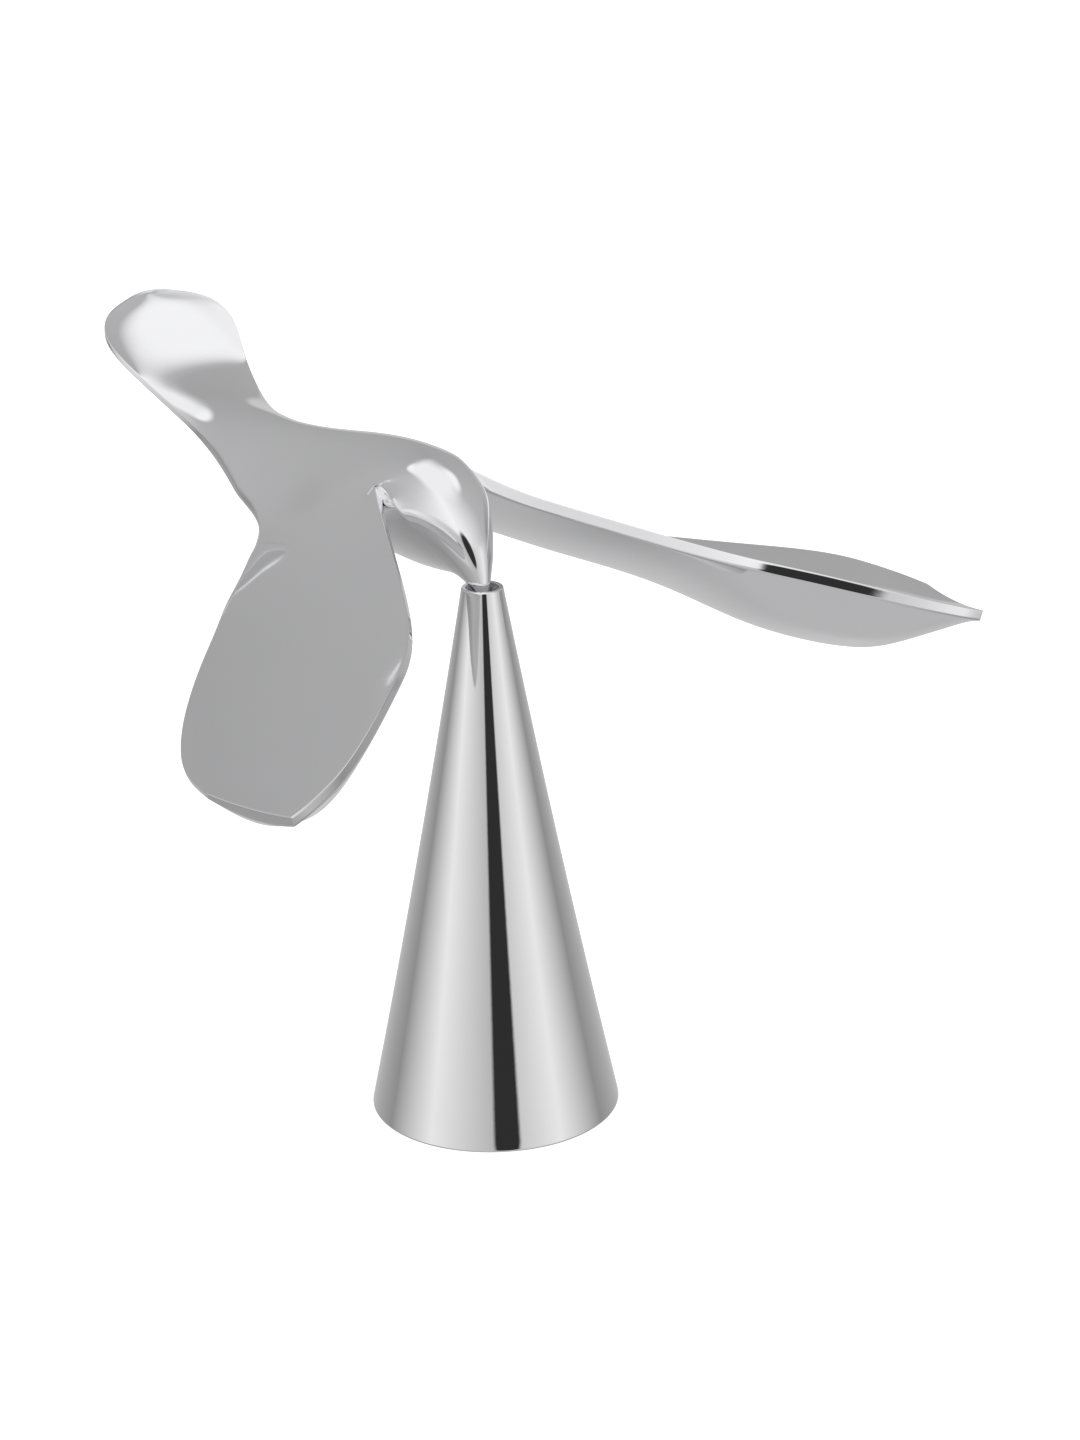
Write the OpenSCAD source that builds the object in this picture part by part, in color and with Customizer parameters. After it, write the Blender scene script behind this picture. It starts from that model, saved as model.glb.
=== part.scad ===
// Balancing bird: a polished metal bird with forward-swept wings stands on the tip of its beak
// in a small cup at the top of a cone.
// Millimetres, +Z up, origin at the centre of the stand's flat underside.
// The bird faces -Y, and its left wing points to +X.

/* [Stand] */
// Height of the cone
cone_h = 100.7; // [98:0.1:104]
// Radius of the cone at the bottom
cone_base_r = 23; // [22:0.5:25]
// Radius of the cone at its rim
cone_top_r = 3.75; // [3.6:0.05:4.2]
// How far the cone's side curves inwards, half way up
cone_waist = 0.5; // [0:0.1:1]
// Thickness of the cone's wall
cone_wall = 1.5; // [1.3:0.1:2]
// Height of the solid top of the cone
cone_cap_h = 14; // [12:1:20]
// Thickness of the plate that closes the cone
plate_t = 2; // [1.8:0.1:3]
// Thickness of the pad under the plate
pad_t = 1; // [0.8:0.1:1.5]
// Height of the iron weight inside the cone
ballast_h = 22; // [16:1:30]

/* [Pivot] */
// How far the point that the bird turns on lies below the rim
pivot_depth = 1.3; // [1.2:0.05:1.5]
// Radius of the steel ball in the tip of the beak
ball_r = 0.8; // [0.7:0.05:0.85]
// Radius of the pin that holds the ball
pin_r = 0.7; // [0.6:0.05:0.75]
// Length of the pin
pin_l = 7; // [5:0.5:8]
// Outer radius of the cup that the ball turns in
cup_r = 2.9; // [2.8:0.05:3]
// Height of the cup
cup_h = 8; // [6:0.5:10]
// Radial clearance of the ball and of the turning fits
running_gap = 0.05; // [0.02:0.01:0.1]

/* [Bird] */
// Thickness of the flat band along a wing's leading edge
band_t = 2; // [1.6:0.1:2.4]
// Thickness of a wing's trailing edge
edge_t = 1.2; // [0.8:0.1:1.8]
// Thickness of the body's wall
body_wall = 1.36; // [1.3:0.02:2]

/* [Detail] */
// Rings along each wing, for each of its stations
wing_rings = 4; // [2:1:6]
// Rings along the body and the tail, for each of their stations
body_rings = 3; // [2:1:5]

/* [Hidden] */
$fn = 96;

pivot_z = cone_h - pivot_depth;
plate_r = cone_base_r - 1.5;
floor_z = pad_t + plate_t;
screw_r = 2;
screw_head_r = 3.6;
screw_l = 12;
fit_gap = 0.1;
cone_steps = 8;
cup_lip = 0.3;
cup_below_rim = 0.15;

// Wing stations from the root to the tip:
// leading edge, trailing edge, hollow of the upper face, and fullness of the underside
wing = [
    [[5, 26, 115], [6, 48, 105], 1, 0.5],
    [[16.5, 4.5, 111.5], [28, 36, 98], 2.5, 0.6],
    [[33, -24.5, 105.5], [43.5, 20, 96.5], 3.2, 2.2],
    [[47, -37, 101], [58, 4.5, 95], 3.4, 8],
    [[61, -46, 96], [71, -11.5, 94], 3.2, 9.75],
    [[70, -49, 92.8], [77.5, -22, 91.8], 2.2, 6],
    [[75, -49.5, 91], [79, -31, 90.8], 0.6, 1],
];
wing_joint = 1;
chord_steps = 12;

// Body and tail stations from the beak to the end of the tail:
// top point [y, z], side point [x, y, z], bottom point [y, z], thickness of the side's edge,
// and flare, how far the top runs out level at the side instead of falling like an ellipse
body = [
    [[-0.9, 99.8], [1.2, 0.1, 99.8], [1.1, 99.8], 0, 0],
    [[-1.2, 102], [2.5, 1.8, 101.6], [3.4, 102.2], 0, 0],
    [[-0.9, 106.5], [4.6, 4.6, 105.4], [9, 101.4], 0, 0],
    [[0.9, 111.8], [6.8, 8, 109], [15, 101], 0, 0],
    [[4.1, 116.5], [9, 12, 112], [20, 101.2], 0, 0],
    [[9.7, 120.5], [10.8, 17, 113.5], [26, 101.6], 0, 0],
    [[19, 122.6], [12.5, 24, 113], [32, 101.8], 0, 0.3],
    [[31, 121.8], [14.5, 34, 108.5], [39, 101.4], 0, 0.6],
    [[45, 119.8], [14.5, 46, 102.5], [47, 100.2], 0, 0.7],
    [[58, 118], [12.6, 58, 104], [58, 103.2], 0.8, 0.5],
    [[68, 118], [11, 68, 109], [68, 109.4], 1, 0.3],
    [[79, 118.4], [9.5, 79, 113.4], [79, 114.6], 1.2, 0.1],
    [[90, 121], [11.5, 90.6, 120.6], [90, 119.2], 1.2, 0],
    [[99, 126.6], [14.4, 99.2, 127.4], [99.6, 125], 1.2, 0],
    [[104.8, 131.2], [11.4, 104.2, 131.6], [105.2, 129.8], 1.2, 0],
    [[107.6, 134], [2, 107, 134.2], [107.8, 133], 1, 0],
];
tail_joint = 9;
cavity_start = 3;
cavity_end = 9.2;
ring_points = 32;

// The value of a list at place t, as a smooth Catmull-Rom curve through its entries
function along(list, t) =
    let (last = len(list) - 1, i = min(floor(t), last - 1), s = t - i,
         p0 = list[max(i - 1, 0)], p1 = list[i], p2 = list[i + 1], p3 = list[min(i + 2, last)])
    p1 + s * (p2 - p0) / 2 + s * s * (p0 - 2.5 * p1 + 2 * p2 - p3 / 2)
       + s * s * s * ((p3 - p0) / 2 + 1.5 * (p1 - p2));

function column(list, k) = [for (row = list) row[k]];
function unit(v) = v / norm(v);

front_edge = column(wing, 0);
back_edge = column(wing, 1);
mid_line = (front_edge + back_edge) / 2;

// One section of a wing at place t: the upper face from front to back, then the underside
function wing_ring(t) =
    let (front = along(front_edge, t), chord = along(back_edge, t) - front,
         hollow = along(column(wing, 2), t), full = along(column(wing, 3), t),
         ahead = min(t + 0.01, len(wing) - 1), behind = max(t - 0.01, 0),
         up = unit(cross(along(mid_line, ahead) - along(mid_line, behind), chord)),
         across = [for (k = [0 : chord_steps]) (1 - cos(180 * k / chord_steps)) / 2],
         upper = [for (v = across) front + v * chord
                  + up * ((band_t + v * (edge_t - band_t)) / 2 - hollow * 4 * v * (1 - v))],
         lower = [for (v = across) front + v * chord
                  - up * ((band_t + v * (edge_t - band_t)) / 2 + (hollow + full) * 4 * v * (1 - v))])
    concat(upper, [for (k = [chord_steps : -1 : 0]) lower[k]]);

// One section of the body at place t, all the way round from the top, shrunk about the middle of its
// height so that a wall of the given thickness is left round it
function body_ring(t, wall = 0) =
    let (top = along(column(body, 0), t), side = along(column(body, 1), t),
         bottom = along(column(body, 2), t), edge = along(column(body, 3), t),
         flare = along(column(body, 4), t), middle = (top + bottom) / 2,
         narrow = 1 - wall / side[0], low = 1 - 2 * wall / norm(top - bottom))
    [for (k = [0 : ring_points - 1])
        let (a = -360 * k / ring_points, upper = cos(a) > 0, end = upper ? top : bottom,
             c = abs(cos(a)), bell = (1 + cos(180 * sin(a))) / 2,
             rise = upper ? c + flare * (bell - c) : c,
             y = side[1] + (end[0] - side[1]) * c,
             z = side[2] + (end[1] - side[2]) * rise + (upper ? 1 : -1) * edge / 2 * (1 - c))
        [side[0] * narrow * sin(a), middle[0] + (y - middle[0]) * low,
         middle[1] + (z - middle[1]) * low]];

// Joins rings with an equal, even number of points into one closed solid
module loft(rings) {
    n = len(rings[0]);
    last = len(rings) - 1;
    sides = [for (i = [0 : last - 1], k = [0 : n - 1], half = [0, 1])
        let (a = i * n + k, b = i * n + (k + 1) % n)
        half == 0 ? [a, b, b + n] : [a, b + n, a + n]];
    // each end is a strip between opposite points, so that a curved section closes without folds
    ends = [for (e = [0, 1], k = [0 : n / 2 - 2], half = [0, 1])
        let (first = e * last * n + k, opposite = e * last * n + n - 1 - k,
             f = half == 0 ? [first, opposite, opposite - 1] : [first, opposite - 1, first + 1])
        e == 0 ? f : [f[2], f[1], f[0]]];
    polyhedron(points = [for (r = rings) each r], faces = concat(sides, ends));
}

module wing_part(from, to) {
    steps = (to - from) * wing_rings;
    loft([for (i = [0 : steps]) wing_ring(from + i / wing_rings)]);
}

module body_part(from, to, wall = 0) {
    steps = round((to - from) * body_rings);
    loft([for (i = [0 : steps]) body_ring(from + (to - from) * i / steps, wall)]);
}

function cone_r(z) =
    let (s = z / cone_h) cone_base_r + s * (cone_top_r - cone_base_r) - cone_waist * 4 * s * (1 - s);

// Hollow cone with a solid top, a rebate for the plate and a bore for the cup
module cone_shell() {
    cavity_top = cone_h - cone_cap_h;
    color("gainsboro") rotate_extrude() polygon(concat(
        [for (i = [0 : cone_steps]) let (z = cone_h * i / cone_steps) [cone_r(z), z]],
        [[cup_r + running_gap, cone_h], [cup_r + running_gap, cone_h - cup_h - cup_below_rim],
         [0, cone_h - cup_h - cup_below_rim], [0, cavity_top]],
        [for (i = [cone_steps : -1 : 0])
            let (z = floor_z + (cavity_top - floor_z) * i / cone_steps) [cone_r(z) - cone_wall, z]],
        [[plate_r + fit_gap, floor_z], [plate_r + fit_gap, 0]]));
}

// Hardened cup with a tapered mouth and a round seat for the ball
module seat_cup() {
    cup_top = cone_h - cup_below_rim;
    color("dimgray") difference() {
        translate([0, 0, cup_top - cup_h]) cylinder(h = cup_h, r = cup_r);
        translate([0, 0, pivot_z])
            cylinder(h = cup_top - pivot_z + 0.01, r1 = ball_r + 0.6, r2 = cup_r - cup_lip);
        translate([0, 0, pivot_z - 0.3]) cylinder(h = 0.31, r = ball_r + 0.6);
        translate([0, 0, pivot_z]) sphere(r = ball_r + running_gap);
    }
}

module ballast() {
    color("darkslategray") difference() {
        translate([0, 0, floor_z]) cylinder(h = ballast_h,
            r1 = cone_r(floor_z) - cone_wall - 0.8, r2 = cone_r(floor_z + ballast_h) - cone_wall - 0.5);
        translate([0, 0, floor_z - 1]) cylinder(h = screw_l, r = screw_r + running_gap);
    }
}

module base_plate() {
    color("gray") difference() {
        translate([0, 0, pad_t]) cylinder(h = plate_t, r = plate_r);
        translate([0, 0, pad_t - 1]) cylinder(h = plate_t + 2, r = screw_r + fit_gap);
        translate([0, 0, pad_t]) cylinder(h = screw_head_r - screw_r, r1 = screw_head_r + fit_gap,
            r2 = screw_r + fit_gap);
    }
}

module base_screw() {
    slot = 1.2;
    color("darkgray") difference() {
        union() {
            translate([0, 0, pad_t]) cylinder(h = screw_head_r - screw_r, r1 = screw_head_r, r2 = screw_r);
            translate([0, 0, pad_t]) cylinder(h = screw_l, r = screw_r);
        }
        for (turn = [0, 90])
            rotate(turn) translate([-2, -slot / 4, pad_t - 1]) cube([4, slot / 2, 2]);
    }
}

module foot_pad() { color("black") cylinder(h = pad_t, r = plate_r); }

module pivot_ball() { color("lightgray") translate([0, 0, pivot_z]) sphere(r = ball_r); }

// Pin pressed into the beak, with a round socket at its lower end for the ball
module pivot_pin() {
    color("lightgray") difference() {
        translate([0, 0, pivot_z]) cylinder(h = pin_l, r = pin_r);
        translate([0, 0, pivot_z]) sphere(r = ball_r + running_gap);
    }
}

// Body with the head, the beak and the roots of the wings, hollow and open where the tail closes it
module torso() {
    color("silver") difference() {
        union() {
            body_part(0, tail_joint);
            wing_part(0, wing_joint);
            mirror([1, 0, 0]) wing_part(0, wing_joint);
        }
        body_part(cavity_start, cavity_end, body_wall);
        translate([0, 0, pivot_z]) cylinder(h = pin_l + running_gap, r = pin_r + running_gap);
        translate([0, 0, pivot_z]) sphere(r = ball_r + running_gap);
    }
}

module left_wing() { color("silver") wing_part(wing_joint, len(wing) - 1); }

module right_wing() { color("silver") mirror([1, 0, 0]) wing_part(wing_joint, len(wing) - 1); }

module tail() { color("silver") body_part(tail_joint, len(body) - 1); }

cone_shell();
seat_cup();
ballast();
base_plate();
base_screw();
foot_pad();
pivot_ball();
pivot_pin();
torso();
left_wing();
right_wing();
tail();
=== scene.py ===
import math

import bpy
import numpy as np
from mathutils import Matrix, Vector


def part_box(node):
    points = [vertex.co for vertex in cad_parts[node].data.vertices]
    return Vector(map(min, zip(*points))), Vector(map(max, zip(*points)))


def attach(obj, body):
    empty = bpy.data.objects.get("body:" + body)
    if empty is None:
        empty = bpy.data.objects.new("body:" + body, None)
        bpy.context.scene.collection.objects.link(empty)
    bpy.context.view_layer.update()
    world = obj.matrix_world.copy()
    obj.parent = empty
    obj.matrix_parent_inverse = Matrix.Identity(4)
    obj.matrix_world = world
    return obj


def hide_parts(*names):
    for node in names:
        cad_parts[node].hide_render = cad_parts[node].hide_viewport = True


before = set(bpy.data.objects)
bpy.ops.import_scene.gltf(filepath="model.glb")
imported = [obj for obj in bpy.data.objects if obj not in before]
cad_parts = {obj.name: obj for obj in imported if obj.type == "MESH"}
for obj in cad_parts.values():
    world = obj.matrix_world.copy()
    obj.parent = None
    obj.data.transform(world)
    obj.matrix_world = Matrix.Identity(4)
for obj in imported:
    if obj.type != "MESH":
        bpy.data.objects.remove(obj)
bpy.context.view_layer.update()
mm = 0.001

# Camera: it looks at a point beside and above the stand's foot, from in front of the bird's right wing
camera = dict(azimuth=-37.4, elevation=20.8, roll=-1.23, distance=680.3, aimRight=9.74, aimUp=75.1,
              lens=94.5, sensor=36, nearest=10)


def makeCamera(c):
    # back is the unit vector from the aim point to the camera
    a, e = math.radians(c["azimuth"]), math.radians(c["elevation"])
    right = np.array([math.cos(a), math.sin(a), 0])
    back = np.array([math.sin(a) * math.cos(e), -math.cos(a) * math.cos(e), math.sin(e)])
    up = np.cross(back, right)
    roll = math.radians(c["roll"])
    turnedRight = math.cos(roll) * right + math.sin(roll) * up
    turnedUp = math.cos(roll) * up - math.sin(roll) * right
    place = (right * c["aimRight"] + np.array([0, 0, c["aimUp"]]) + back * c["distance"]) * mm
    data = bpy.data.cameras.new("camera")
    data.sensor_width = c["sensor"]
    data.lens = c["lens"]
    data.clip_start = c["nearest"] * mm
    cam = bpy.data.objects.new("camera", data)
    bpy.context.scene.collection.objects.link(cam)
    matrix = np.eye(4)
    matrix[:3, 0], matrix[:3, 1], matrix[:3, 2], matrix[:3, 3] = turnedRight, turnedUp, back, place
    cam.matrix_world = Matrix(matrix.tolist())
    bpy.context.scene.camera = cam


makeCamera(camera)
print("camera set")

# Bird, in millimetres. Body stations run from the beak to the end of the tail:
# top y, z; side x, y, z; bottom y, z; thickness of the side's edge; flare, how far the top runs out
# level at the side; angle of the wing line from the top
bird = dict(
    body=[
        [-1.2, 99.35, 1.3, 0, 99.4, 1, 99.35, 0, 0, 90],
        [-1.2, 102, 2.5, 1.8, 101.6, 3.4, 102.2, 0, 0, 88],
        [-0.9, 106.5, 4.6, 4.6, 105.4, 9, 101.4, 0, 0, 84],
        [0.9, 111.8, 6.8, 8, 109, 15, 101, 0, 0, 80],
        [4.1, 116.5, 9, 12, 112, 20, 101.2, 0, 0, 74],
        [9.7, 120.8, 10.8, 17, 113.5, 26, 101.6, 0, 0, 62],
        [19, 123.2, 12.5, 24, 113, 32, 101.8, 0, 0.3, 72],
        [31, 122.6, 14.5, 34, 108.5, 39, 101.4, 0, 0.6, 86],
        [45, 120.6, 14.5, 46, 102.5, 47, 100.2, 0, 0.7, 92],
        [58, 118.8, 11.9, 58, 104.5, 58, 103.2, 0.8, 0.5, 90],
        [68, 118.5, 10.1, 68, 109.5, 68, 109.4, 1, 0.3, 90],
        [79, 118.5, 8.9, 79, 113.8, 79, 114.6, 1.2, 0.1, 90],
        [90, 121, 11.5, 90.6, 120.6, 90, 119.2, 1.2, 0, 90],
        [99, 126.6, 14.4, 99.2, 127.4, 99.6, 125, 1.2, 0, 90],
        [104.8, 131.2, 11.4, 104.2, 131.6, 105.2, 129.8, 1.2, 0, 90],
        [107.6, 134, 2, 107, 134.2, 107.8, 133, 1, 0, 90],
    ],
    # Wing stations from the root to the tip: leading edge, trailing edge, hollow of the top, fullness below
    wing=[
        [5, 26, 115, 6, 48, 105, 1, 0.5],
        [16.5, 4.5, 111.5, 28, 36, 98, 2.5, 1.4],
        [33, -24.5, 105.5, 43.5, 20, 96.5, 3.2, 3.2],
        [47, -37, 101, 58, 4.5, 95, 3.4, 8.8],
        [61, -46, 96, 71, -11.5, 94, 3.2, 9.75],
        [70, -49, 92.8, 77.5, -22, 91.8, 2.2, 5],
        [75, -49.5, 91, 79, -31, 90.8, 0.6, 1],
    ],
    bandThick=2.0,       # flat band along the leading edge
    edgeThick=1.2,       # trailing edge
    slitFrom=5.3, slitTo=8.3,   # the stretch of the body's side that the wing grows out of
    aboveLine=6, belowLine=5,     # quads from the top to the wing line, and from there to the bottom
    chord=[0, 0.05, 0.18, 0.38, 0.6, 0.8, 0.94, 1],
    frontRings=12, tailRings=16, rootRings=3, wingRings=15,
    rootFront=[[8.3, 21.4, 118.2], [8.3, 18.2, 114.6]],     # upper and lower corner of the band at its root
    fairedColumns=3, fairedRings=2,      # how far the fairing reaches from the wing line and past its ends
    leastWidth=2, gapLimit=0.25,         # the wing line's gap, where the body is narrow and at most
    bandCrease=0.9, edgeCrease=0.7, ridgeCrease=0.8, ridgeFrom=0.2, rimCrease=0.5,
    spanStep=0.01,                       # how far to each side the wing's direction is taken
    levels=3,
)


def along(stations, t):
    # Catmull-Rom curve through the stations: cubic between neighbours, slope (next - previous) / 2
    p = np.asarray(stations, float)
    t = np.asarray(t, float)
    i = np.clip(np.floor(t).astype(int), 0, len(p) - 2)
    s = (t - i)[..., None]
    p0, p1 = p[np.maximum(i - 1, 0)], p[i]
    p2, p3 = p[i + 1], p[np.minimum(i + 2, len(p) - 1)]
    return (p1 + s * (p2 - p0) / 2 + s**2 * (p0 - 2.5 * p1 + 2 * p2 - p3 / 2)
            + s**3 * ((p3 - p0) / 2 + 1.5 * (p1 - p2)))


def bodyPoints(b, t, angle):
    # Half ellipses that meet at the side: point = side centre + (end - side centre) |cos a|, x = width sin a
    s = along(b["body"], t)
    upper = np.cos(angle) >= 0
    c = np.abs(np.cos(angle))
    endY = np.where(upper, s[..., 0], s[..., 5])
    endZ = np.where(upper, s[..., 1], s[..., 6])
    edge = np.where(upper, 1, -1) * s[..., 7] / 2 * (1 - c)
    bell = (1 + np.cos(math.pi * np.sin(angle))) / 2
    rise = np.where(upper, c + s[..., 8] * (bell - c), c)
    return np.stack([s[..., 2] * np.sin(angle), s[..., 3] + (endY - s[..., 3]) * c,
                     s[..., 4] + (endZ - s[..., 4]) * rise + edge], -1)


def wingPoints(b, t, v, upper):
    # Straight chord from the leading to the trailing edge, plus a parabola 4 v (1 - v) across it
    s = along(b["wing"], t)
    last = len(b["wing"]) - 1
    ahead = along(b["wing"], np.minimum(t + b["spanStep"], last))
    behind = along(b["wing"], np.maximum(t - b["spanStep"], 0))
    span = (ahead - behind)[..., 0:3] + (ahead - behind)[..., 3:6]
    chord = s[..., 3:6] - s[..., 0:3]
    up = np.cross(span, chord)
    up /= np.linalg.norm(up, axis=-1, keepdims=True)
    half = (b["bandThick"] + v * (b["edgeThick"] - b["bandThick"])) / 2
    bow = 4 * v * (1 - v)
    rise = np.where(upper, half - s[..., 6] * bow, -half - (s[..., 6] + s[..., 7]) * bow)
    return s[..., 0:3] + v[..., None] * chord + up * rise[..., None]


def faired(points, quads, free, sharp):
    # Thin-plate fairing: the free points move until the sum of the squared Laplacians (mean of a point's
    # neighbours - point) of the free points and their neighbours is least. Sharp points keep no such sum.
    n = len(points)
    joined = np.zeros((n, n))
    for a in range(4):
        b = (a + 1) % 4
        joined[quads[:, a], quads[:, b]] = joined[quads[:, b], quads[:, a]] = 1
    np.fill_diagonal(joined, 0)
    laplacian = joined / np.maximum(joined.sum(1, keepdims=True), 1) - np.eye(n)
    counted = (free | (joined @ free > 0)) & ~sharp
    rows = laplacian[counted]
    moved = np.linalg.lstsq(rows[:, free], -rows[:, ~free] @ points[~free], rcond=None)[0]
    result = points.copy()
    result[free] = moved
    return result


def birdCage(b):
    # Rings round the body, with one row of quads along each side left open, and a tube of rings grown
    # from each opening for the wings. Returns points, faces and {edge: crease}.
    chord = np.array(b["chord"])
    slit = b["slitFrom"] + (b["slitTo"] - b["slitFrom"]) * chord
    front = np.linspace(0, b["slitFrom"], b["frontRings"] + 1)[:-1]
    back = np.linspace(b["slitTo"], len(b["body"]) - 1, b["tailRings"] + 1)[1:]
    t = np.concatenate([front, slit, back])
    wingLine = np.radians(along(b["body"], t)[:, 9])
    width = along(b["body"], t)[:, 2]
    gap = np.minimum(b["bandThick"] / 2 / np.maximum(width, b["leastWidth"]), b["gapLimit"])
    m, n = b["aboveLine"], b["belowLine"]
    above = np.linspace(0, 1, m + 1)[None] * (wingLine - gap)[:, None]
    below = ((wingLine + gap)[:, None]
             + np.linspace(0, 1, n + 1)[None] * (math.pi - wingLine - gap)[:, None])
    half = np.concatenate([above, below], 1)
    angles = np.concatenate([half, 2 * math.pi - half[:, -2:0:-1]], 1)
    rings, around = angles.shape
    body = bodyPoints(b, np.repeat(t[:, None], around, 1), angles)
    for mirror, line in ((1, m), (-1, around - m)):
        body[len(front), [line, line + mirror]] = np.array(b["rootFront"]) * [mirror, 1, 1]
    points = [body.reshape(-1, 3)]
    index = np.arange(rings * around).reshape(rings, around)
    i, k = np.meshgrid(np.arange(rings - 1), np.arange(around), indexing="ij")
    nextK = (k + 1) % around
    quads = np.stack([index[i, k], index[i, nextK], index[i + 1, nextK], index[i + 1, k]], -1)
    first, last = len(front), len(front) + len(slit) - 1
    inSlit = (i >= first) & (i < last)
    sideLeft, sideRight = m, around - m - 1
    faces = [quads[~(inSlit & ((k == sideLeft) | (k == sideRight)))]]
    # ends of the body
    for ring, flip in ((0, False), (rings - 1, True)):
        j = np.arange(around // 2)
        cap = np.stack([index[ring, j], index[ring, (around - j) % around],
                        index[ring, around - j - 1], index[ring, j + 1]], -1)
        cap = np.where((j == 0)[:, None], np.stack([cap[:, 0], cap[:, 2], cap[:, 3], cap[:, 3]], -1), cap)
        faces.append(cap[:, ::-1] if flip else cap)
    creases, loose = {}, []

    def crease(path, amount):
        for p, q, w in zip(path[:-1], path[1:], np.broadcast_to(amount, len(path) - 1)):
            creases[(int(min(p, q)), int(max(p, q)))] = float(w)

    for side in (m + 1, around - m - 1):
        crease(index[: first + 1, side], np.linspace(b["ridgeFrom"], 1, first) * b["ridgeCrease"])
    for side in (m, m + 1, around - m, around - m - 1):
        crease(index[last + 2:, side], b["rimCrease"])
    base = rings * around
    for mirror in (1, -1):
        upK, downK = (m, m + 1) if mirror == 1 else (around - m, around - m - 1)
        root = np.concatenate([index[first:last + 1, upK], index[first:last + 1, downK][::-1]])
        rootPoints = body.reshape(-1, 3)[root]
        wingT = np.linspace(1, len(b["wing"]) - 1, b["wingRings"])[:, None]
        v = np.concatenate([chord, chord[::-1]])[None]
        isUpper = (np.arange(len(root)) < len(chord))[None]
        wing = wingPoints(b, np.broadcast_to(wingT, (len(wingT), len(root))),
                          np.broadcast_to(v, (len(wingT), len(root))), isUpper)
        wing[..., 0] *= mirror
        # from the opening to the wing's first ring: cubic that leaves straight and arrives along the wing
        mix = (np.arange(1, b["rootRings"]) / b["rootRings"])[:, None, None]
        reach = wing[0] - rootPoints
        arrive = wing[1] - wing[0]
        arrive = arrive * (np.linalg.norm(reach, axis=1) / np.linalg.norm(arrive, axis=1))[:, None]
        blend = rootPoints + reach * mix + (reach - arrive) * mix**2 * (1 - mix)
        tube = np.concatenate([blend, wing]).reshape(-1, 3)
        points.append(tube)
        count = len(root)
        tubeIndex = np.concatenate([root[None], base + np.arange(len(tube)).reshape(-1, count)])
        base += len(tube)
        j, c = np.meshgrid(np.arange(len(tubeIndex) - 1), np.arange(count), indexing="ij")
        nextC = (c + 1) % count
        quads = np.stack([tubeIndex[j, c], tubeIndex[j, nextC],
                          tubeIndex[j + 1, nextC], tubeIndex[j + 1, c]], -1).reshape(-1, 4)
        tip = tubeIndex[-1]
        c = np.arange(len(chord) - 1)
        cap = np.stack([tip[c], tip[c + 1], tip[count - 2 - c], tip[count - 1 - c]], -1)
        faces += [quads[:, ::-mirror], cap[:, ::-mirror]]
        w = len(chord)
        inner = np.r_[1:w - 1, w + 1:count - 1]
        loose.append(tubeIndex[:b["rootRings"] + 1][:, inner].ravel())
        near = b["fairedColumns"]
        ringsNear = np.arange(first - b["fairedRings"], last + b["fairedRings"] + 1)
        for line, way in ((upK, -mirror), (downK, mirror)):
            columns = line + way * np.arange(1, near)
            loose.append(index[np.ix_(ringsNear, columns % around)].ravel())
            loose.append(index[np.r_[ringsNear[ringsNear < first], ringsNear[ringsNear > last]], line])
        for column, amount in ((0, b["bandCrease"]), (count - 1, b["bandCrease"]),
                               (w - 1, b["edgeCrease"]), (w, b["edgeCrease"])):
            crease(tubeIndex[1 if column in (w - 1, w) else 0:, column], amount)
        crease(np.append(tip, tip[0]), b["edgeCrease"])
    points, faces = np.concatenate(points), np.concatenate(faces)
    sharp = np.zeros(len(points), bool)
    sharp[np.array(list(creases)).ravel()] = True
    free = np.zeros(len(points), bool)
    free[np.concatenate(loose)] = True
    free &= ~sharp
    return faired(points, faces, free, sharp) * mm, faces, creases


def meshObject(name, points, faces, material, smooth=True):
    mesh = bpy.data.meshes.new(name)
    rows = [[int(p) for p in dict.fromkeys(f)] for f in faces.tolist()]
    mesh.from_pydata(points.tolist(), [], rows)
    mesh.polygons.foreach_set("use_smooth", [smooth] * len(mesh.polygons))
    mesh.materials.append(material)
    mesh.update()
    obj = bpy.data.objects.new(name, mesh)
    bpy.context.scene.collection.objects.link(obj)
    return obj


# What all finishes share: the stretch of the clouds' values that the roughness spans, how fine each noise
# is, and the depth of the grain in metres
surface = dict(cloudRange=(0.3, 0.7), cloudDetail=4, scratchDetail=2, grainDetail=3, grainDepth=0.0001)


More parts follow.
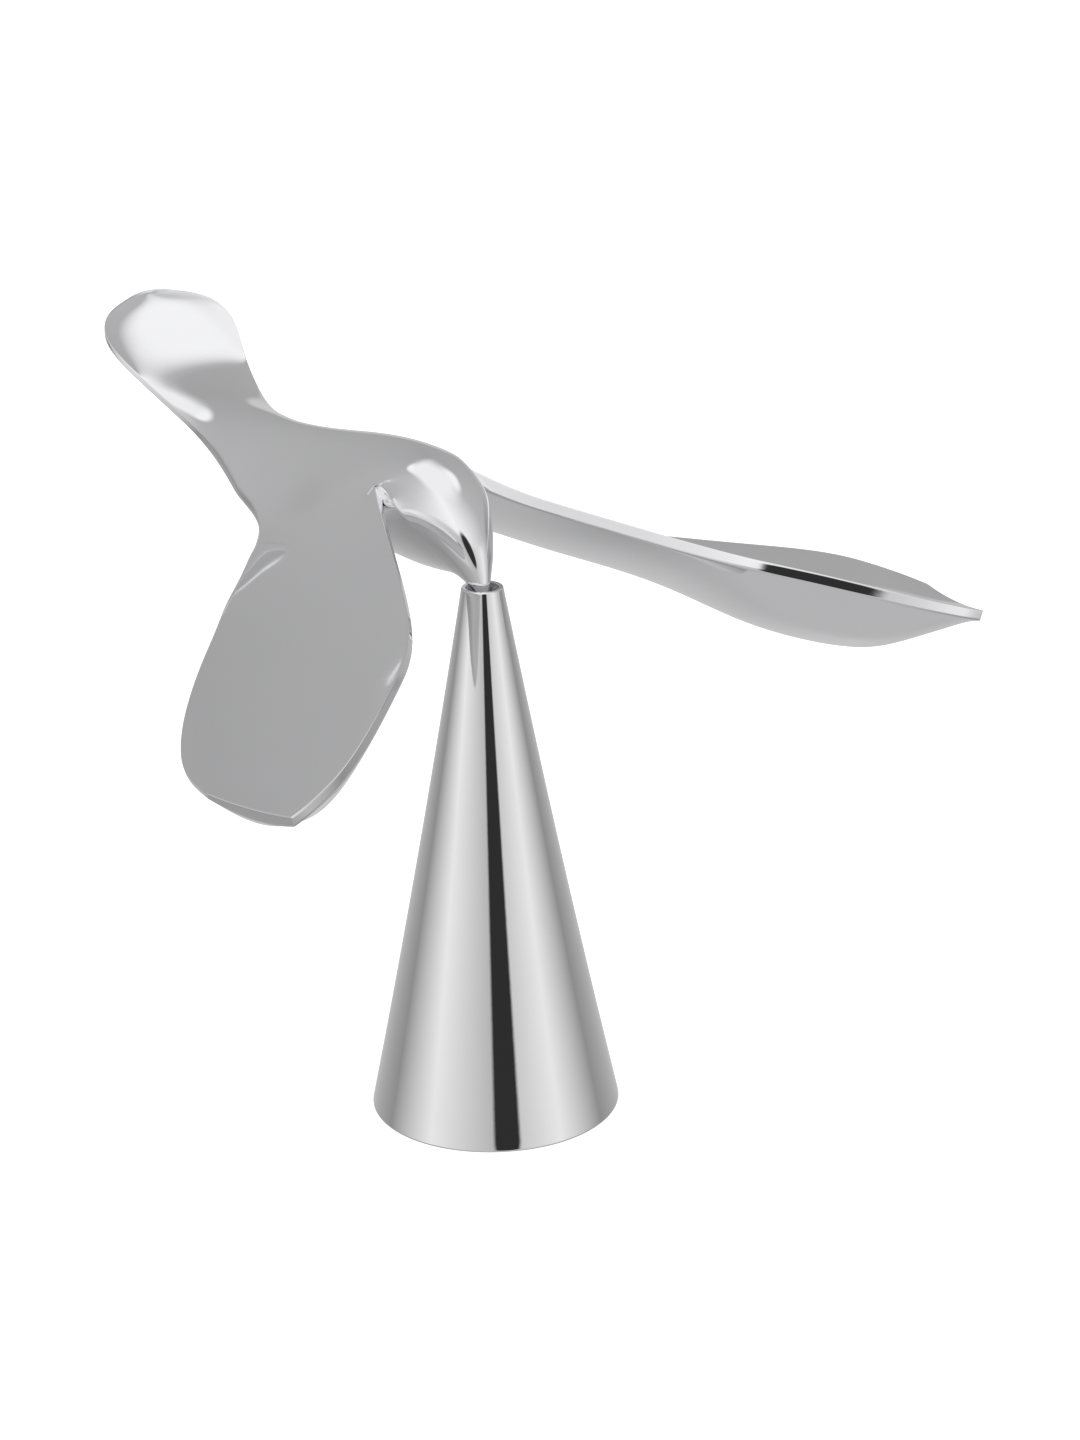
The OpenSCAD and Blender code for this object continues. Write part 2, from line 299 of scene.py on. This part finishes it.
def material(name, s):
    # Metal or rubber: clouds vary its colour and roughness, and fine grain and long scratches its bump
    mat = bpy.data.materials.new(name)
    mat.use_nodes = True
    nodes, links = mat.node_tree.nodes, mat.node_tree.links
    shader = nodes["Principled BSDF"]
    shader.inputs["Metallic"].default_value = s["metallic"]
    coord = nodes.new("ShaderNodeTexCoord")

    def noise(scale, detail, stretch=(1, 1, 1)):
        place = nodes.new("ShaderNodeMapping")
        place.inputs["Scale"].default_value = stretch
        texture = nodes.new("ShaderNodeTexNoise")
        texture.inputs["Scale"].default_value = scale
        texture.inputs["Detail"].default_value = detail
        links.new(coord.outputs["Object"], place.inputs["Vector"])
        links.new(place.outputs["Vector"], texture.inputs["Vector"])
        return texture.outputs["Fac"]

    cloud = noise(s["cloudScale"], surface["cloudDetail"])
    rough = nodes.new("ShaderNodeMapRange")
    rough.inputs["From Min"].default_value, rough.inputs["From Max"].default_value = surface["cloudRange"]
    rough.inputs["To Min"].default_value, rough.inputs["To Max"].default_value = s["rough"]
    links.new(cloud, rough.inputs["Value"])
    links.new(rough.outputs["Result"], shader.inputs["Roughness"])
    tint = nodes.new("ShaderNodeMix")
    tint.data_type = "RGBA"
    tint.inputs["A"].default_value, tint.inputs["B"].default_value = s["colours"]
    links.new(cloud, tint.inputs["Factor"])
    links.new(tint.outputs["Result"], shader.inputs["Base Color"])
    height = nodes.new("ShaderNodeMath")
    height.operation = "MULTIPLY_ADD"
    height.inputs[1].default_value = s["scratches"]
    links.new(noise(s["grainScale"], surface["scratchDetail"], s["along"]), height.inputs[0])
    links.new(noise(s["grainScale"], surface["grainDetail"]), height.inputs[2])
    bump = nodes.new("ShaderNodeBump")
    bump.inputs["Strength"].default_value = s["bump"]
    bump.inputs["Distance"].default_value = surface["grainDepth"]
    links.new(height.outputs["Value"], bump.inputs["Height"])
    links.new(bump.outputs["Normal"], shader.inputs["Normal"])
    return mat


birdChrome = material("birdChrome", dict(
    metallic=1, cloudScale=35, rough=(0.03, 0.06), colours=((0.87, 0.87, 0.89, 1), (0.92, 0.92, 0.93, 1)),
    grainScale=900, along=(1, 0.15, 1), scratches=0.5, bump=0.02))
standChrome = material("standChrome", dict(
    metallic=1, cloudScale=45, rough=(0.015, 0.035), colours=((0.87, 0.86, 0.87, 1), (0.92, 0.91, 0.91, 1)),
    grainScale=900, along=(1, 1, 0.1), scratches=0.5, bump=0.02))
hardSteel = material("hardSteel", dict(
    metallic=1, cloudScale=300, rough=(0.16, 0.28), colours=((0.3, 0.3, 0.32, 1), (0.4, 0.4, 0.41, 1)),
    grainScale=2500, along=(1, 1, 0.2), scratches=0.6, bump=0.08))
platedSteel = material("platedSteel", dict(
    metallic=1, cloudScale=120, rough=(0.22, 0.36), colours=((0.52, 0.52, 0.5, 1), (0.64, 0.63, 0.6, 1)),
    grainScale=1600, along=(0.1, 1, 1), scratches=0.8, bump=0.1))
castIron = material("castIron", dict(
    metallic=1, cloudScale=180, rough=(0.5, 0.7), colours=((0.06, 0.06, 0.065, 1), (0.13, 0.125, 0.12, 1)),
    grainScale=700, along=(1, 1, 1), scratches=0.2, bump=0.6))
padRubber = material("padRubber", dict(
    metallic=0, cloudScale=150, rough=(0.6, 0.8), colours=((0.018, 0.018, 0.02, 1), (0.04, 0.04, 0.04, 1)),
    grainScale=1400, along=(1, 1, 1), scratches=0.2, bump=0.5))
print("materials made")

points, faces, creases = birdCage(bird)
skin = meshObject("birdSkin", points, faces, birdChrome)
layer = skin.data.attributes.new("crease_edge", "FLOAT", "EDGE")
pairs = np.zeros(len(skin.data.edges) * 2, int)
skin.data.edges.foreach_get("vertices", pairs)
layer.data.foreach_set("value", [creases.get((min(p), max(p)), 0.0) for p in pairs.reshape(-1, 2).tolist()])
sub = skin.modifiers.new("smooth", "SUBSURF")
sub.levels = sub.render_levels = bird["levels"]
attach(skin, "bird")
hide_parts("torso", "left_wing", "right_wing", "tail")
print("bird skin made:", len(points), "points,", len(faces), "faces")

# Stand: outer side, rim, bore for the cup, and the hollow with the rebate for the plate
stand = dict(topRadius=3.75, waist=0.5, wall=1.5, cap=14, bore=2.95, boreDepth=8.15, floor=3, rebate=21.6,
             rimRound=0.25, footRound=0.5, turns=256, rows=120)
# Cup: a tapered mouth, a narrow flat below the pivot's height, and a round seat that the ball stands in.
# flatInner is the flat's inner radius as a part of the seat's.
cup = dict(outer=2.9, lip=0.3, below=0.15, height=8, pivotDepth=1.3, seat=0.85, seatSteps=24, mouth=1.4,
           flatDrop=0.3, flatInner=0.94, lipRound=0.08, lipSteps=4, turns=192)
sharpAngle = 35      # degrees between faces from which an edge is drawn sharp


def lathe(name, profile, paint, turns):
    # The profile's points (radius, height) turned about Z: x = r cos a, y = r sin a. It starts and ends on
    # the axis, where a fan of triangles closes it, and runs so that the outside is on its right.
    profile = np.array(profile, float)
    a = 2 * math.pi * np.arange(turns) / turns
    r, z = profile[1:-1, 0:1], profile[1:-1, 1:2]
    rings = np.stack([r * np.cos(a), r * np.sin(a), z + 0 * a], -1)
    count = len(rings)
    poles = np.array([[0, 0, profile[0, 1]], [0, 0, profile[-1, 1]]])
    i, k = np.meshgrid(np.arange(count - 1), np.arange(turns), indexing="ij")
    n = (k + 1) % turns
    sides = np.stack([i * turns + k, i * turns + n, (i + 1) * turns + n, (i + 1) * turns + k], -1)
    k, n = np.arange(turns), (np.arange(turns) + 1) % turns
    start, end = count * turns, count * turns + 1
    fans = [np.stack([n, k, start + 0 * k, start + 0 * k], -1),
            np.stack([(count - 1) * turns + k, (count - 1) * turns + n, end + 0 * k, end + 0 * k], -1)]
    points = np.concatenate([rings.reshape(-1, 3), poles]) * mm
    obj = meshObject(name, points, np.concatenate([sides.reshape(-1, 4)] + fans), paint)
    obj.data.set_sharp_from_angle(angle=math.radians(sharpAngle))
    return obj


def rounded(corner, before, after, radius, steps=8):
    # Quarter arc as a quadratic curve that leaves the corner's two sides at that distance from it
    corner, before, after = (np.array(p, float) for p in (corner, before, after))
    p0 = corner + (before - corner) / np.linalg.norm(before - corner) * radius
    p2 = corner + (after - corner) / np.linalg.norm(after - corner) * radius
    t = np.linspace(0, 1, steps + 1)[:, None]
    return (1 - t)**2 * p0 + 2 * t * (1 - t) * corner + t**2 * p2


low, high = (np.array(corner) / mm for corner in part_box("cone_shell"))
height, baseRadius = high[2] - low[2], (high[0] - low[0]) / 2


def coneRadius(z):
    # straight from the base to the rim, drawn in by a parabola 4 s (1 - s)
    t = z / height
    return baseRadius + t * (stand["topRadius"] - baseRadius) - stand["waist"] * 4 * t * (1 - t)


sideZ = np.linspace(0, height, stand["rows"])
side = np.stack([coneRadius(sideZ), sideZ], -1)
hollowTop = height - stand["cap"]
insideZ = np.linspace(hollowTop, stand["floor"], stand["rows"] // 2)
inside = np.stack([coneRadius(insideZ) - stand["wall"], insideZ], -1)
boreEnd = height - stand["boreDepth"]
foot = rounded((baseRadius, 0), (stand["rebate"], 0), side[1], stand["footRound"])
rim = rounded(side[-1], side[-2], (stand["bore"], height), stand["rimRound"])
mouth = rounded((stand["bore"], height), side[-1], (stand["bore"], boreEnd), stand["rimRound"])
coneProfile = np.concatenate([
    [(0, hollowTop)], inside, [(stand["rebate"], stand["floor"]), (stand["rebate"], 0)], foot,
    side[2:-1], rim, mouth, [(stand["bore"], boreEnd), (0, boreEnd)]])
coneBody = lathe("coneBody", coneProfile, standChrome, stand["turns"])
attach(coneBody, "stand")
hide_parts("cone_shell")

top, pivot = height - cup["below"], height - cup["pivotDepth"]
flat = pivot - cup["flatDrop"]
seatAngle = np.linspace(math.pi / 2, 0, cup["seatSteps"])
seat = np.stack([cup["seat"] * np.cos(seatAngle), pivot - cup["seat"] * np.sin(seatAngle)], -1)
lipInner = cup["outer"] - cup["lip"]
cupProfile = np.concatenate([
    [(0, top - cup["height"])], [(cup["outer"], top - cup["height"])],
    rounded((cup["outer"], top), (cup["outer"], 0), (0, top), cup["lipRound"], cup["lipSteps"]),
    rounded((lipInner, top), (cup["outer"], top), (cup["mouth"], pivot), cup["lipRound"], cup["lipSteps"]),
    [(cup["mouth"], pivot), (cup["mouth"], flat), (cup["seat"] * cup["flatInner"], flat)],
    seat[seat[:, 1] < flat][::-1]])
seatCup = lathe("seatCup", cupProfile, hardSteel, cup["turns"])
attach(seatCup, "cup")
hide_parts("seat_cup")
print("stand made:", len(coneBody.data.vertices), "points")

finishes = dict(pivot_ball=standChrome, pivot_pin=hardSteel, ballast=castIron, base_plate=platedSteel,
                base_screw=platedSteel, foot_pad=padRubber)
for name, finish in finishes.items():
    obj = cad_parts[name]
    obj.data.materials.clear()
    obj.data.materials.append(finish)

# Studio: a plain light tent, the same on both sides, darker past each side, with a dark opening at the front
# and a long soft light overhead on each side. Directions are angles round the object, 0 at the camera and
# positive to its right, and heights above the horizon. The ring is what upright sides mirror, the dome what
# upper sides mirror, and under what lower sides mirror.
studio = dict(
    ring=[(-180, 0.6, 0.6, 0.6), (-110, 0.3, 0.3, 0.3), (-60, 0.9, 0.9, 0.9), (0, 0.5, 0.5, 0.5),
          (60, 0.9, 0.9, 0.9), (110, 0.3, 0.3, 0.3), (180, 0.6, 0.6, 0.6)],
    dome=[(-180, 0.4, 0.4, 0.4), (-90, 0.5, 0.5, 0.5), (0, 1, 1, 1), (90, 0.5, 0.5, 0.5),
          (180, 0.4, 0.4, 0.4)],
    under=[(-180, 0.6, 0.6, 0.6), (-90, 0.3, 0.3, 0.3), (0, 0.5, 0.5, 0.5), (90, 0.3, 0.3, 0.3),
           (180, 0.6, 0.6, 0.6)],
    zenith=(0.95, 0.95, 0.95), nadir=(0.5, 0.5, 0.5), backdrop=(1, 1, 1),
    ringToDome=(5, 15), domeToZenith=(50, 70), ringToUnder=(-20, -30), underToNadir=(-60, -75),
    # each panel: turn and rise of its middle, half its width and height, size of its even middle, colour
    panels=[
        (10, 0, 14, 20, 0.7, (0.03, 0.03, 0.03)),
        (-120, 60, 45, 10, 0.3, (1, 1, 1)),
        (120, 60, 45, 10, 0.3, (1, 1, 1)),
    ])


def makeStudio(s):
    world = bpy.data.worlds.new("studio")
    bpy.context.scene.world = world
    world.use_nodes = True
    nodes, links = world.node_tree.nodes, world.node_tree.links
    background = nodes["Background"]
    coord = nodes.new("ShaderNodeTexCoord")
    split = nodes.new("ShaderNodeSeparateXYZ")
    links.new(coord.outputs["Generated"], split.inputs["Vector"])

    def calc(operation, *values):
        node = nodes.new("ShaderNodeMath")
        node.operation = operation
        for socket, value in zip(node.inputs, values):
            if isinstance(value, (int, float)):
                socket.default_value = value
            else:
                links.new(value, socket)
        return node.outputs["Value"]

    def ease(value, start, end, up=True):
        node = nodes.new("ShaderNodeMapRange")
        node.interpolation_type = "SMOOTHSTEP"
        for socket, number in (("From Min", start), ("From Max", end),
                               ("To Min", 0 if up else 1), ("To Max", 1 if up else 0)):
            node.inputs[socket].default_value = number
        links.new(value, node.inputs["Value"])
        return node.outputs["Result"]

    def ramp(value, stops):
        node = nodes.new("ShaderNodeValToRGB")
        elements = node.color_ramp.elements
        while len(elements) < len(stops):
            elements.new(0.5)
        for element, (turn, *colour) in zip(elements, stops):
            element.position = (turn + 180) / 360
            element.color = (*colour, 1)
        links.new(value, node.inputs["Fac"])
        return node.outputs["Color"]

    def mix(factor, first, second):
        node = nodes.new("ShaderNodeMix")
        node.data_type = "RGBA"
        links.new(factor, node.inputs["Factor"])
        for socket, value in (("A", first), ("B", second)):
            if isinstance(value, tuple):
                node.inputs[socket].default_value = (*value, 1)
            else:
                links.new(value, node.inputs[socket])
        return node.outputs["Result"]

    # turn = angle of (x, -y) round Z, less the camera's, wrapped to -180..180; rise = angle above the horizon
    turn = calc("DEGREES", calc("ARCTAN2", split.outputs["X"], calc("MULTIPLY", split.outputs["Y"], -1)))
    turn = calc("WRAP", calc("SUBTRACT", turn, camera["azimuth"]), 180, -180)
    rise = calc("DEGREES", calc("ARCSINE", split.outputs["Z"]))
    place = calc("DIVIDE", calc("ADD", turn, 180), 360)
    colour = mix(ease(rise, *s["ringToDome"]), ramp(place, s["ring"]), ramp(place, s["dome"]))
    colour = mix(ease(rise, *s["domeToZenith"]), colour, s["zenith"])
    below = mix(ease(rise, *s["underToNadir"][::-1], False), ramp(place, s["under"]), s["nadir"])
    colour = mix(ease(rise, *s["ringToUnder"][::-1], False), colour, below)
    for panelTurn, panelRise, halfWidth, halfHeight, core, tint in s["panels"]:
        # distance from the panel's middle, 1 on its elliptical edge
        across = calc("WRAP", calc("SUBTRACT", turn, panelTurn), 180, -180)
        upward = calc("SUBTRACT", rise, panelRise)
        reach = calc("SQRT", calc("ADD", calc("POWER", calc("DIVIDE", across, halfWidth), 2),
                                  calc("POWER", calc("DIVIDE", upward, halfHeight), 2)))
        colour = mix(ease(reach, core, 1, False), colour, tint)
    seen = nodes.new("ShaderNodeLightPath")
    colour = mix(seen.outputs["Is Camera Ray"], colour, s["backdrop"])
    links.new(colour, background.inputs["Color"])


# Floor: pale and matt, in metres. It glows for the camera only, and the metal doesn't mirror it.
floor = dict(size=6, colour=(0.9, 0.9, 0.9, 1), rough=0.9, glow=0.7, glowColour=(1, 1, 1, 1))


def makeFloor(s):
    paint = bpy.data.materials.new("floorPaint")
    paint.use_nodes = True
    shader = paint.node_tree.nodes["Principled BSDF"]
    shader.inputs["Base Color"].default_value = s["colour"]
    shader.inputs["Roughness"].default_value = s["rough"]
    shader.inputs["Emission Color"].default_value = s["glowColour"]
    seen = paint.node_tree.nodes.new("ShaderNodeLightPath")
    strength = paint.node_tree.nodes.new("ShaderNodeMath")
    strength.operation = "MULTIPLY"
    strength.inputs[1].default_value = s["glow"]
    paint.node_tree.links.new(seen.outputs["Is Camera Ray"], strength.inputs[0])
    paint.node_tree.links.new(strength.outputs["Value"], shader.inputs["Emission Strength"])
    corners = np.array([[-1, -1, 0], [1, -1, 0], [1, 1, 0], [-1, 1, 0]]) * s["size"] / 2
    obj = meshObject("floor", corners, np.array([[0, 1, 2, 3]]), paint, smooth=False)
    obj.visible_glossy = False


makeStudio(studio)
makeFloor(floor)
bpy.context.scene.view_settings.view_transform = "Standard"
print("studio made")
